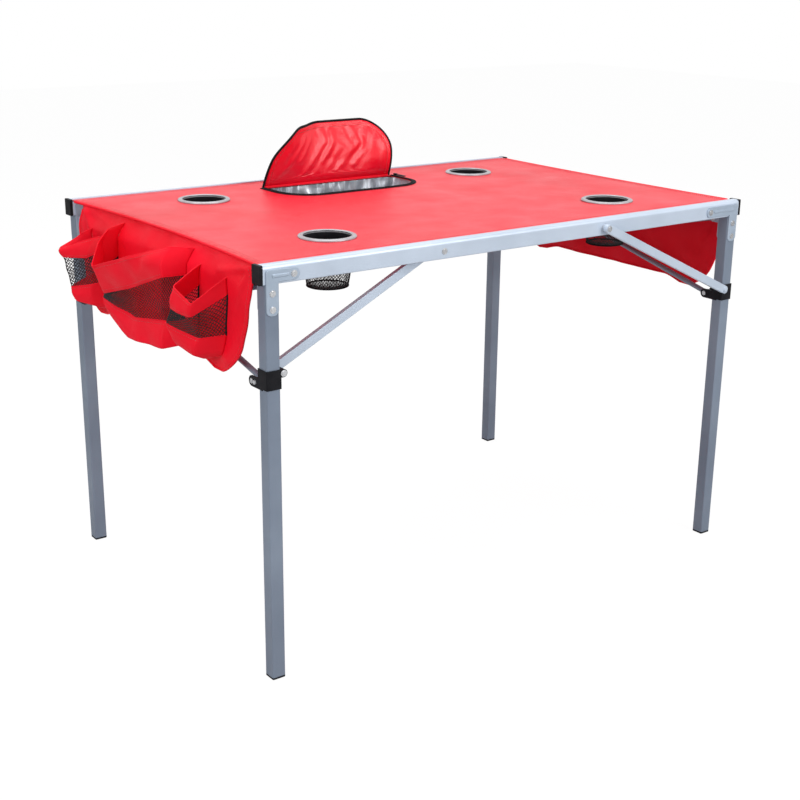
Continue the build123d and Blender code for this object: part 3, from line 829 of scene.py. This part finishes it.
ring_profile = [(0.0452, -0.0012), (0.0452, 0.0008), (0.0444, 0.0019), (0.0425, 0.0027), (0.0402, 0.0030),
                (0.0384, 0.0027), (0.0374, 0.0018), (0.0371, 0.0004), (0.0371, -0.0012)]
throat_profile = [(0.0370, 0.0016), (0.0384, -0.0004), (0.0386, -0.0140), (0.0376, -0.0140),
                  (0.0372, -0.0004)]
cup_rings = mesh_piece("cup_ring_trims", *turned(ring_profile, cups), ring_plastic)
cup_throats = mesh_piece("cup_throats", *turned(throat_profile, cups), black_plastic)
print("rings and throats for", len(cups), "cups")

# %% Net pockets of the cups
cup_throat, cup_taper, cup_floor = 0.0386, 0.0066, 0.0320   # radius at the top, its loss, and at the floor
net_start, net_depth = 0.0125, 0.0635
floor_pitch, floor_sag = 0.0025, 0.005
cup_columns, cup_rows = 80, 24


def cup_wall(share, down):
    """Radius and height of the net at a share of the way round it and down it."""
    sag = 0.0006 * math.sin(share * 14 * math.pi) * math.sin(math.pi * down)
    return cup_throat - cup_taper * down**1.5 + sag, top_z - net_start - net_depth * down


def wall_knot(cx, cy, r, c):
    """A knot of the cup's wall, which goes round and down."""
    radius, z = cup_wall(c / cup_columns, r / cup_rows)
    a = 2 * math.pi * c / cup_columns
    return (cx + radius * math.cos(a), cy + radius * math.sin(a), z)


def floor_knot(cx, cy, i, j):
    """A knot of the cup's floor: a shallow bowl of net, drawn in to the hoop round it."""
    if math.hypot(i, j) * floor_pitch >= cup_floor + 1.4 * floor_pitch:
        return None
    x, y = i * floor_pitch, j * floor_pitch
    shrink = min(1.0, cup_floor / max(math.hypot(x, y), floor_pitch))
    x, y = x * shrink, y * shrink
    sag = floor_sag * (1 - (x * x + y * y) / cup_floor**2)
    return (cx + x, cy + y, top_z - (net_start + net_depth) - sag)


net_points, net_edges, hoops = [], [], []
reach = int(cup_floor / floor_pitch) + 1
across = range(-reach, reach + 1)
for cx, cy in cups:
    knot_net(net_points, net_edges, across, across, lambda i, j: floor_knot(cx, cy, i, j))
    knot_net(net_points, net_edges, range(cup_rows + 1), range(cup_columns),
             lambda r, c: wall_knot(cx, cy, r, c), wrap=cup_columns)
    for down in (0.02, 1.0):
        radius, z = cup_wall(0.0, down)
        hoops.append([(cx + radius * math.cos(a), cy + radius * math.sin(a), z) for a in around])
cup_nets = cord("cup_nets", net_points, net_black, radius=0.0005, sides=4, edges=net_edges)
cup_hoops = cord("cup_hoops", hoops, tape_black, radius=0.0013, closed=True)
print("cup nets:", len(cup_nets.data.polygons), "faces")

# %% [markdown]
# ## The cooler
# Under the half oval hangs an insulated bag. It is a lofted shell of a rounded rectangle that bulges a
# little and tucks in at the floor, lined with creased foil. A zip runs round the opening.

# %% Shape of the bag
bag_y, bag_half, bag_corner = 0.173, (0.159, 0.089), 0.026
bag_top, bag_low = 0.6345, 0.5105


def rounded(shrink, corner=bag_corner, steps=14):
    """Points round the bag's rounded rectangle, anticlockwise."""
    half_x, half_y = bag_half[0] - shrink, bag_half[1] - shrink
    points = []
    for quarter, (sx, sy) in enumerate(((1, 1), (-1, 1), (-1, -1), (1, -1))):
        for i in range(steps):
            a = math.pi / 2 * (quarter + i / (steps - 1))
            points.append((sx * (half_x - corner) + corner * math.cos(a),
                           sy * (half_y - corner) + corner * math.sin(a)))
    dense = []
    for (x0, y0), (x1, y1) in zip(points, points[1:] + points[:1]):
        cuts = max(1, int(math.hypot(x1 - x0, y1 - y0) / 0.008))
        dense += [(x0 + (x1 - x0) * k / cuts, y0 + (y1 - y0) * k / cuts) for k in range(cuts)]
    return dense


def bag_shell(shrink, low, ripple, seed, upright=0.0):
    """Rings of the bag from its mouth to the middle of its floor. Foil creases upright from the rim."""
    ring_points = rounded(shrink)
    levels = [(0.0, 1.0), (0.005, 1.0), (0.015, 1.0)] + [(k / 20, 1.0) for k in range(1, 20)]
    levels += [(0.985, 0.985), (1.0, 0.95)]
    levels += [(1.0 + 0.004 * k, 0.95 - 0.13 * k) for k in range(1, 8)]
    points = []
    for down, scale in levels:
        drop = min(down, 1.0)
        for x, y in ring_points:
            bulge = 1 + 0.008 * math.sin(math.pi * drop)
            crumple = drift(x * 30, y * 30, drop * 4 + seed)
            crumple += 0.8 - 2.2 * abs(drift(x * 55 + 4 * drop, y * 55, drop * 3 + 2 * seed))
            sharp = abs(drift(x * 42 + 3 * drop, y * 42 - 5 * drop, seed)) ** 0.7
            crumple -= 1.6 * upright * sharp
            wave = ripple * crumple * (upright + (1 - upright) * math.sin(math.pi * min(1.0, drop + 0.05)))
            length = math.hypot(x, y)
            px, py = (x * bulge + x / length * wave) * scale, (y * bulge + y / length * wave) * scale
            z = bag_top + (low - bag_top) * drop
            if scale < 0.95:
                z += ripple * 0.6 * drift(px * 40, py * 40, seed)
            points.append((px, bag_y + py, z))
    faces = grid_faces(len(levels), len(ring_points), closed=True)
    faces.append(tuple(range(len(points) - len(ring_points), len(points))))
    return points, faces


print("bag", 2 * bag_half[0], "by", 2 * bag_half[1], "and", round(bag_top - bag_low, 3), "deep")

# %% Bag and lining
points, faces = bag_shell(shrink=0.0015, low=bag_low + 0.001, ripple=0.0022, seed=2.0)
bag_shell_piece = cloth_piece("cooler_bag_shell", points, faces, side_red_lightened, thickness=0.0016)
points, faces = bag_shell(shrink=0.0105, low=bag_low + 0.0085, ripple=0.0034, seed=9.0, upright=1.0)
foil_lining = cloth_piece("cooler_foil", points, faces, foil, thickness=0.0008)
bag_seam = [[(x * 0.985, bag_y + y * 0.985, bag_low + 0.0025) for x, y in rounded(0.001)]]
bag_piping = cord("cooler_bag_piping", bag_seam, side_red_lightened, radius=0.002, closed=True)
print("bag and lining:", len(bag_shell_piece.data.polygons), len(foil_lining.data.polygons), "faces")

# %% Zip tape and teeth round the opening
def thinned(line, count):
    """An even choice of a line's points."""
    return [line[int(i * (len(line) - 1) / (count - 1))] for i in range(count)]


tooth_pitch, tape_stop = 0.0022, 0.002
inner, outer = mouth_line(-0.0015, tape_stop), mouth_line(0.0080, tape_stop)
count = min(len(inner), len(outer))
points = [(x, y, cloth_z(x, y) + 0.0007) for x, y in thinned(inner, count) + thinned(outer, count)]
mouth_tape = cloth_piece("mouth_zip_tape", points, grid_faces(2, count), tape_black, thickness=0.0009)
mouth_edge = [(x, y, cloth_z(x, y) + 0.0011) for x, y in mouth_line(0.0002, tape_stop)]
mouth_teeth = beads("mouth_zip_teeth", [mouth_edge], black_plastic, tooth_pitch,
                    bead=(0.0017, 0.0012, 0.0007))
mouth_cord = cord("mouth_zip_cord", [mouth_edge], tape_black, radius=0.0014, sides=6)
print("mouth zip:", len(mouth_teeth.data.polygons), "tooth faces")

# %% [markdown]
# ## The lid
# The lid is a padded half oval that stands open, leaning back. Its left half curls forwards, which
# pulls long creases across the pad. Both faces swell from a flat sewn margin, and the black half of
# the zip runs round its edge.

# %% Shape of the lid
lean = math.radians(95.0)
lid_inset, lid_root, lid_height = 0.003, 0.0006, 0.109
lid_middle = 0.0043         # from the hinge line to the middle of the pad's thickness
seam_inset = 0.0095         # from the lid's edge to its seam
left_curl, right_curl, top_lean = 0.060, 0.016, 0.010   # how far its parts bend forwards or lean back
left_pull, left_droop = 0.012, 0.006                    # how far the curl draws the left end in and down
tuck_depth, tuck_x, tuck_rise, tuck_width = 0.0068, -0.126, 0.086, 0.042
dip_depth, dip_x, dip_width = 0.0022, -0.046, 0.022
edge_thick, margin_thick, pad_loft, seam_pinch = 0.0022, 0.0012, 0.0040, 0.0020


def lid_place(x, rise, off):
    """From the lid's own flat place to the table: rise up from the hinge, off towards the back."""
    height = rise / lid_height
    left = smooth_step((-x - 0.005) / 0.135)
    edge = smooth_step((x - 0.08) / 0.05)
    curl = left_curl * left * height**1.2
    curl += right_curl * edge * math.sin(math.pi * min(1.0, height))
    curl -= top_lean * height**2
    tuck = tuck_depth * math.exp(-(((x - tuck_x) / tuck_width) ** 2) - ((rise - tuck_rise) / tuck_width) ** 2)
    dip = dip_depth * bell(x - dip_x, dip_width) * height**4
    droop = left_droop * left * height**2 + 0.5 * tuck + dip
    y = hinge_y - rise * math.cos(lean) + off * math.sin(lean) - curl
    z = top_z + rise * math.sin(lean) + off * math.cos(lean) - droop
    return (x + left_pull * left * height + tuck, y, z)


def edge_distance(x, y):
    """How far inside the lid's edge a flat point lies."""
    low, high = 0.0, 0.06
    for _ in range(12):
        middle = (low + high) / 2
        if in_mouth(x, y, -lid_inset - middle) and y < hinge_y - lid_root:
            low = middle
        else:
            high = middle
    return min(low, max(0.0, hinge_y - lid_root - y + 0.012))


def pad_thickness(inside):
    """Thin at the edge, pinched at the seam, full in the middle."""
    margin = edge_thick + margin_thick * smooth_step(inside / 0.004)
    loft = pad_loft * smooth_step((inside - seam_inset) / 0.022)
    pinch = seam_pinch * bell(inside - seam_inset, 0.0016)
    return margin + loft - pinch


lid_loop = mouth_line(-lid_inset, lid_root)
flat, faces = sheet_mesh(
    [lid_loop], lambda x, y: in_mouth(x, y, -lid_inset - 0.002) and y < hinge_y - lid_root - 0.002,
    lambda x, y: in_mouth(x, y, -lid_inset), step=0.0036, reach=(0.134, 0.056, 0.176))
print("lid lattice:", len(flat), "points")

# %% The padded lid
crease_lines = [
    # along the pad as (x, rise), from the sewn edge down
    ((-0.040, 0.097), (-0.062, 0.075), (-0.092, 0.048), (-0.114, 0.020)),
    ((-0.026, 0.100), (-0.040, 0.078), (-0.068, 0.045)),
    ((-0.005, 0.101), (-0.002, 0.074), (-0.028, 0.045), (-0.060, 0.012)),
    ((0.016, 0.098), (0.014, 0.070), (-0.008, 0.040)),
    ((0.061, 0.098), (0.074, 0.067), (0.045, 0.042), (0.018, 0.014)),
    ((0.100, 0.088), (0.088, 0.056), (0.062, 0.028)),
]
crease_depth, pucker = 0.0016, 0.0009


def lid_crease(x, rise, inside):
    """Long bent creases from the sewn edge, with finer puckers between them."""
    fold = 0.0
    for bends in crease_lines:
        away = min(off_line(x, rise, a, b)[0] for a, b in zip(bends, bends[1:]))
        fold += bell(away, 0.0052) - 0.5 * bell(away - 0.011, 0.006)
    small = drift(x * 60 - rise * 30, rise * 22, 6.6)
    return (crease_depth * fold + pucker * small) * smooth_step((inside - 0.006) / 0.012)


front, back = [], []
for p in flat:
    rise = hinge_y - p.y
    inside = edge_distance(p.x, p.y)
    half = pad_thickness(inside) / 2
    crease = lid_crease(p.x, rise, inside)
    front.append(lid_place(p.x, rise, lid_middle - half - crease))
    back.append(lid_place(p.x, rise, lid_middle + half - 0.5 * crease))
count, rim = len(front), len(lid_loop)
faces_all = [tuple(f) for f in faces] + [tuple(i + count for i in reversed(f)) for f in faces]
faces_all += [(i, (i + 1) % rim, (i + 1) % rim + count, i + count) for i in range(rim)]
lid_pad = mesh_piece("lid_pad", front + back, faces_all, lid_red_lightened)
print("lid pad:", len(lid_pad.data.polygons), "faces")

# %% [markdown]
# The creases drawn so far are only a start. Blender's Cloth blows the pad up a little while its sewn
# margin is pinned, so the cloth between the creases tightens as stuffed cloth does. No point may move
# further than its cap, which keeps the lid in its place and flat towards the hinge.

# %% Swell the pad
def swell(obj, pinned, pressure, caps, frames=20):
    """Blow a closed mesh up. Returns the furthest that a point would have moved without its cap."""
    before = np.array([v.co for v in obj.data.vertices])
    obj.vertex_groups.new(name="sewn").add(pinned, 1.0, "REPLACE")
    cloth = obj.modifiers.new("cloth", "CLOTH")
    cloth.settings.vertex_group_mass = "sewn"
    cloth.settings.use_pressure = True
    cloth.settings.uniform_pressure_force = pressure
    cloth.settings.effector_weights.gravity = 0.0
    cloth.settings.bending_stiffness = 0.2
    cloth.settings.shrink_min = -0.004
    for number in range(1, frames + 1):
        scene.frame_set(number)
    settled(obj)
    scene.frame_set(1)
    moved = np.array([v.co for v in obj.data.vertices]) - before
    length = np.linalg.norm(moved, axis=1, keepdims=True)
    kept = before + moved * np.minimum(1.0, np.array(caps)[:, None] / np.maximum(length, 1e-9))
    obj.data.vertices.foreach_set("co", kept.ravel())
    obj.data.update()
    return float(length.max())


sewn_margin, hinge_margin = 0.0105, 0.006
low_cap, more_cap = 0.0003, 0.0027      # at the hinge, and what is added towards the top
sewn = []
for i, p in enumerate(flat):
    if edge_distance(p.x, p.y) < sewn_margin or hinge_y - p.y < hinge_margin:
        sewn += [i, i + count]
caps = [low_cap + more_cap * smooth_step((hinge_y - p.y - 0.025) / 0.045) for p in flat]
furthest = swell(lid_pad, sewn, pressure=1.0, caps=caps * 2)
print("pad swelled, furthest move", round(furthest * 1000, 2), "mm before the cap")

# %% Zip edge, teeth and seam of the lid
def on_lid(loop, off):
    """A flat line of the mouth, stood up on the lid."""
    return [lid_place(x, hinge_y - y, off) for x, y in loop]


lid_edge = cord("lid_zip_edge", [on_lid(mouth_line(-0.0026, lid_root), lid_middle)], tape_black,
                radius=0.0023)
hinge_line = [[(x, hinge_y + 0.0030, top_z + 0.0004) for x in np.linspace(-0.140, 0.140, 60)]]
lid_binding = cord("lid_hinge_binding", hinge_line, side_red_lightened, radius=0.0014)
lid_teeth = beads("lid_zip_teeth", [on_lid(mouth_line(-0.0008, lid_root), lid_middle)], black_plastic,
                  tooth_pitch, bead=(0.0011, 0.0015, 0.0007))
seam = mouth_line(-lid_inset - seam_inset, 0.006)
lid_stitches = beads("lid_stitches", [on_lid(seam, 0.0030), on_lid(seam, 0.0056)], thread_red,
                     stitch_pitch, bead=(0.0007, 0.0007, 0.0019))
print("lid zip:", len(lid_teeth.data.polygons), "tooth faces")

# %% [markdown]
# ## Put everything on its body
# Each piece rides the body that carries it and takes the place of its plain CAD solid.

# %% Sew the pieces on
sew(top_cloth, "front_frame", "red_cloth", "fabric_top")
for piece in (top_piping, top_stitches):
    sew(piece, "front_frame", "red_cloth")
sew(cup_rings, "front_frame", "grey_binding", "cup_rings")
sew(cup_nets, "front_frame", "black_mesh", "cup_pockets")
sew(cup_throats, "front_frame", "black_plastic")
sew(cup_hoops, "front_frame", "black_mesh")
for side in sides:
    sew(aprons[side], "front_frame", "red_cloth", f"apron_{side}")
    for piece in (bindings[side], apron_stitches[side], pocket_edges[side], pocket_stitches[side]):
        sew(piece, "front_frame", "red_cloth")
    for piece in (pocket_nets[side], pocket_seams[side]):
        sew(piece, "front_frame", "black_mesh")
    for name in pockets:
        stood_for = f"box_pocket_{side}" if name == "box" else f"bottle_pockets_{side}"
        sew(pocket_cloth[name, side], "front_frame", "red_cloth", stood_for)
sew(bag_shell_piece, "cooler", "red_cloth", "cooler_bag")
sew(bag_piping, "cooler", "red_cloth")
sew(foil_lining, "cooler", "foil", "cooler_lining")
sew(mouth_tape, "cooler", "zip_tape", "cooler_zip")
for piece in (mouth_teeth, mouth_cord):
    sew(piece, "cooler", "zip_tape")
sew(lid_pad, "lid", "red_cloth", "cooler_lid")
sew(lid_edge, "lid", "zip_tape", "lid_zip")
sew(lid_binding, "cooler", "red_cloth")
sew(lid_teeth, "lid", "zip_tape")
sew(lid_stitches, "lid", "red_cloth")

# %% [markdown]
# ## Studio
# The floor and the world are white to the camera, so the picture has the plain ground of a catalogue
# page, while the floor still takes the table's shadow. Three soft lamps light the object.

# %% Floor
floor_half, floor_grey = 9, 0.6
white_glow, white_share = 1.09, 0.88        # what the camera sees of the floor
floor_corners = [(x * floor_half, y * floor_half, 0) for x, y in ((-1, -1), (1, -1), (1, 1), (-1, 1))]
floor = new_object("floor", floor_corners, [], [(0, 1, 2, 3)])
pale = bpy.data.materials.new("pale_floor")
pale.use_nodes = True
tree = pale.node_tree
tree.nodes.clear()
matt, glow, ray, share, mix, last = (tree.nodes.new(f"ShaderNode{kind}") for kind in (
    "BsdfDiffuse", "Emission", "LightPath", "Math", "MixShader", "OutputMaterial"))
matt.inputs["Color"].default_value = (floor_grey, floor_grey, floor_grey, 1)
glow.inputs["Strength"].default_value = white_glow
share.operation = "MULTIPLY"
share.inputs[1].default_value = white_share
wire(tree, (ray.outputs["Is Camera Ray"], share.inputs[0]), (share.outputs["Value"], mix.inputs["Fac"]),
     (matt.outputs["BSDF"], mix.inputs[1]), (glow.outputs["Emission"], mix.inputs[2]),
     (mix.outputs["Shader"], last.inputs["Surface"]))
floor.data.materials.append(pale)
print("floor", 2 * floor_half, "m wide")

# %% World
fill_light = 0.36           # what the world gives to the object's matt faces
world = bpy.data.worlds.new("studio")
world.use_nodes = True
scene.world = world
tree = world.node_tree
backdrop = tree.nodes["Background"]
ray, seen, glossy, level = (tree.nodes.new(f"ShaderNode{kind}") for kind in (
    "LightPath", "Math", "Math", "MapRange"))
seen.operation = glossy.operation = "MAXIMUM"
level.inputs["To Min"].default_value = fill_light
level.inputs["To Max"].default_value = 1.0
wire(tree, (ray.outputs["Is Camera Ray"], seen.inputs[0]), (ray.outputs["Is Glossy Ray"], glossy.inputs[0]),
     (ray.outputs["Is Transmission Ray"], glossy.inputs[1]), (glossy.outputs["Value"], seen.inputs[1]),
     (seen.outputs["Value"], level.inputs["Value"]), (level.outputs["Result"], backdrop.inputs["Strength"]))
backdrop.inputs["Color"].default_value = (1, 1, 1, 1)
print("world fills with", fill_light)

# %% Lamps
def soft_lamp(name, where, target, size, power):
    """A round area lamp that points at a target."""
    lamp = bpy.data.lights.new(name, "AREA")
    lamp.shape = "DISK"
    lamp.size = size
    lamp.energy = power
    holder = bpy.data.objects.new(name, lamp)
    holder.location = where
    holder.rotation_euler = (Vector(target) - Vector(where)).to_track_quat("-Z", "Y").to_euler()
    scene.collection.objects.link(holder)


soft_lamp("front_lamp", (0.9, -2.8, 1.9), (0, 0, 0.4), size=2.0, power=56)
soft_lamp("side_lamp", (-2.6, -0.8, 1.7), (0, 0, 0.5), size=1.6, power=29)
soft_lamp("top_lamp", (-0.2, 0.3, 3.2), (0, 0, 0.6), size=3.0, power=54)
print("three lamps")

# %% [markdown]
# ## Camera
# The camera was fitted to the straight edges of the frame in the photograph. Its roll is under a
# degree. The lens is a little longer than normal, so the near leg looks only slightly larger.

# %% Camera at the photograph's place
azimuth, tilt, roll = math.radians(36.609), math.radians(18.085), math.radians(0.627)
camera_place = (-1.4143, -1.8893, 1.0395)
focal_pixels, picture_pixels, sensor = 1350.25, 800, 36.0
ahead = Vector((math.sin(azimuth) * math.cos(tilt), math.cos(azimuth) * math.cos(tilt), -math.sin(tilt)))
right = ahead.cross(Vector((0, 0, 1))).normalized()
up = right.cross(ahead)
turned_right = right * math.cos(roll) + up * math.sin(roll)
turned_up = up * math.cos(roll) - right * math.sin(roll)
lens = bpy.data.cameras.new("photo_camera")
lens.sensor_width = sensor
lens.lens = focal_pixels / picture_pixels * sensor
camera = bpy.data.objects.new("photo_camera", lens)
basis = Matrix((turned_right, turned_up, -ahead)).transposed().to_4x4()
camera.matrix_world = Matrix.Translation(camera_place) @ basis
scene.collection.objects.link(camera)
scene.camera = camera
scene.view_settings.view_transform = "Standard"
print("lens", round(lens.lens, 2), "mm")
